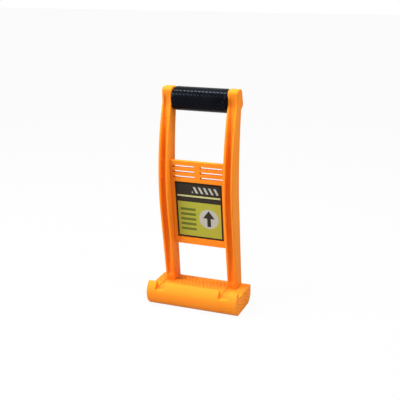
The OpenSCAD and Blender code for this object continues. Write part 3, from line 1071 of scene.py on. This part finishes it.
def grip_body(s):
    """The rubber grip: two smooth collars and raised diamonds between them."""
    turns = [2 * math.pi * i / s.around for i in range(s.around)]
    rings = [[(x, r * math.cos(turn), r * math.sin(turn)) for turn in turns] for x, r in grip_profile(s)]
    bm, chains = loft(rings, closed=True)
    ends = edges_between(chains[0], True) + edges_between(chains[-1], True)
    bmesh.ops.bridge_loops(bm, edges=ends)
    bmesh.ops.recalc_face_normals(bm, faces=bm.faces)
    edge = s.half - s.collar_w

    def outside(c):
        return abs(c.x) < edge and c.yz.length > (s.bore_r + s.radius) / 2

    grip_diamonds(bm, s, faces_where(bm, outside))
    rounds = [e for e in bm.edges if runs_round(e) and min(abs(v.co.x) for v in e.verts) > edge - WELD]
    made = bmesh.ops.subdivide_edges(bm, edges=rounds, cuts=1, use_grid_fill=True)["geom_inner"]
    for v in verts_of(made):
        v.co.yz = v.co.yz / math.cos(math.pi / s.around)
    bmesh.ops.translate(bm, vec=GRIP_MIDDLE, verts=bm.verts)
    return bm


class CARRIER_OT_grip(bpy.types.Operator):
    """Models the rubber grip with its diamonds and end collars"""

    bl_idname = "carrier.grip"
    bl_label = "Grip"

    def execute(self, context):
        body = grip_body(context.scene.panel_carrier.grip)
        finished(body, "grip", shared(grip_rubber), ["grip_sleeve"], crease=25)
        return {"FINISHED"}


# Carried-over nodes


class CARRIER_OT_fasteners(bpy.types.Operator):
    """Gives the screws, washers and handle tube their finishes"""

    bl_idname = "carrier.fasteners"
    bl_label = "Fasteners and tube"

    def execute(self, context):
        for name in ("foot_screws", "foot_washers", "handle_screws", "handle_tube"):
            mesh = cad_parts[name].data
            mesh.materials.clear()
            mesh.materials.append(shared(moulded_orange if name == "handle_tube" else zinc_plating))
        return {"FINISHED"}


# Stage


def aimed(target, azimuth, elevation, distance):
    """Place of a lamp or camera that looks at a target from a distance."""
    turn = Matrix.Rotation(azimuth, 4, "Z") @ Matrix.Rotation(math.pi / 2 - elevation, 4, "X")
    return Matrix.Translation(target) @ turn @ Matrix.Translation((0, 0, distance))


def area_lamp(name, power, size, place):
    """A soft oblong lamp."""
    lamp = bpy.data.lights.new(name, "AREA")
    lamp.energy = power
    lamp.shape = "RECTANGLE"
    lamp.size, lamp.size_y = size
    thing = bpy.data.objects.new(name, lamp)
    thing.matrix_world = place
    bpy.context.scene.collection.objects.link(thing)


def white_world(scene, fill):
    """White to the eye and in reflections, dimmer as a light."""
    scene.world = bpy.data.worlds.new("studio")
    made = Nodes(scene.world)
    back = made.tree.nodes["Background"]
    made.feed(back.inputs["Color"], (1, 1, 1, 1))
    made.feed(back.inputs["Strength"], fill + made.seen() * (1 - fill))


class CARRIER_OT_stage(bpy.types.Operator):
    """Sets the floor, the lamps, the world and the camera"""

    bl_idname = "carrier.stage"
    bl_label = "Stage"

    def execute(self, context):
        scene = context.scene
        s = scene.panel_carrier.stage
        bm = bmesh.new()
        bmesh.ops.create_grid(bm, x_segments=1, y_segments=1, size=s.floor_size / 2)
        floor = placed(bm, "floor")
        floor.data.materials.append(white_floor(s))
        white_world(scene, s.world_fill)
        look = Vector((0, s.look_y, s.look_z))
        for name, power, size, azimuth, elevation in (
            ("top_lamp", s.top_power, (s.top_w, s.top_d), 0.0, math.pi / 2),
            ("left_lamp", s.left_power, (s.side_w, s.side_w), -s.left_azimuth, s.left_elevation),
            ("right_lamp", s.right_power, (s.side_w, s.side_w), s.right_azimuth, s.right_elevation),
        ):
            area_lamp(name, power, size, aimed(look, azimuth, elevation, s.lamp_distance))
        lens = bpy.data.cameras.new("camera")
        lens.sensor_width = 36
        lens.lens = s.lens
        camera = bpy.data.objects.new("camera", lens)
        place = aimed(look, s.azimuth, s.elevation, s.distance)
        camera.matrix_world = place @ Matrix.Rotation(s.roll, 4, "Z")
        scene.collection.objects.link(camera)
        scene.camera = camera
        scene.view_settings.view_transform = "Standard"
        return {"FINISHED"}


# Sidebar and registration


OPERATORS = (
    CARRIER_OT_foot, CARRIER_OT_rails, CARRIER_OT_panel,
    CARRIER_OT_grip, CARRIER_OT_fasteners, CARRIER_OT_stage,
)


class CARRIER_PT_sidebar(bpy.types.Panel):
    """Lists the pieces of the panel carrier"""

    bl_idname = "CARRIER_PT_sidebar"
    bl_label = "Panel carrier"
    bl_space_type = "VIEW_3D"
    bl_region_type = "UI"
    bl_category = "Carrier"

    def draw(self, context):
        for operator in OPERATORS:
            self.layout.operator(operator.bl_idname)


GROUPS = (
    FootSettings, RailSettings, PanelSettings, GripSettings, FinishSettings, StageSettings, CarrierSettings,
)
CLASSES = GROUPS + OPERATORS + (CARRIER_PT_sidebar,)


def register():
    """Registers the classes and the scene's settings."""
    for each in CLASSES:
        bpy.utils.register_class(each)
    bpy.types.Scene.panel_carrier = bpy.props.PointerProperty(type=CarrierSettings)


def unregister():
    """Takes the settings and the classes away again."""
    del bpy.types.Scene.panel_carrier
    for each in reversed(CLASSES):
        bpy.utils.unregister_class(each)


def main():
    """Builds every piece and the stage."""
    register()
    bpy.ops.carrier.foot()
    bpy.ops.carrier.rails()
    bpy.ops.carrier.panel()
    bpy.ops.carrier.grip()
    bpy.ops.carrier.fasteners()
    bpy.ops.carrier.stage()


if __name__ == "__main__":
    main()
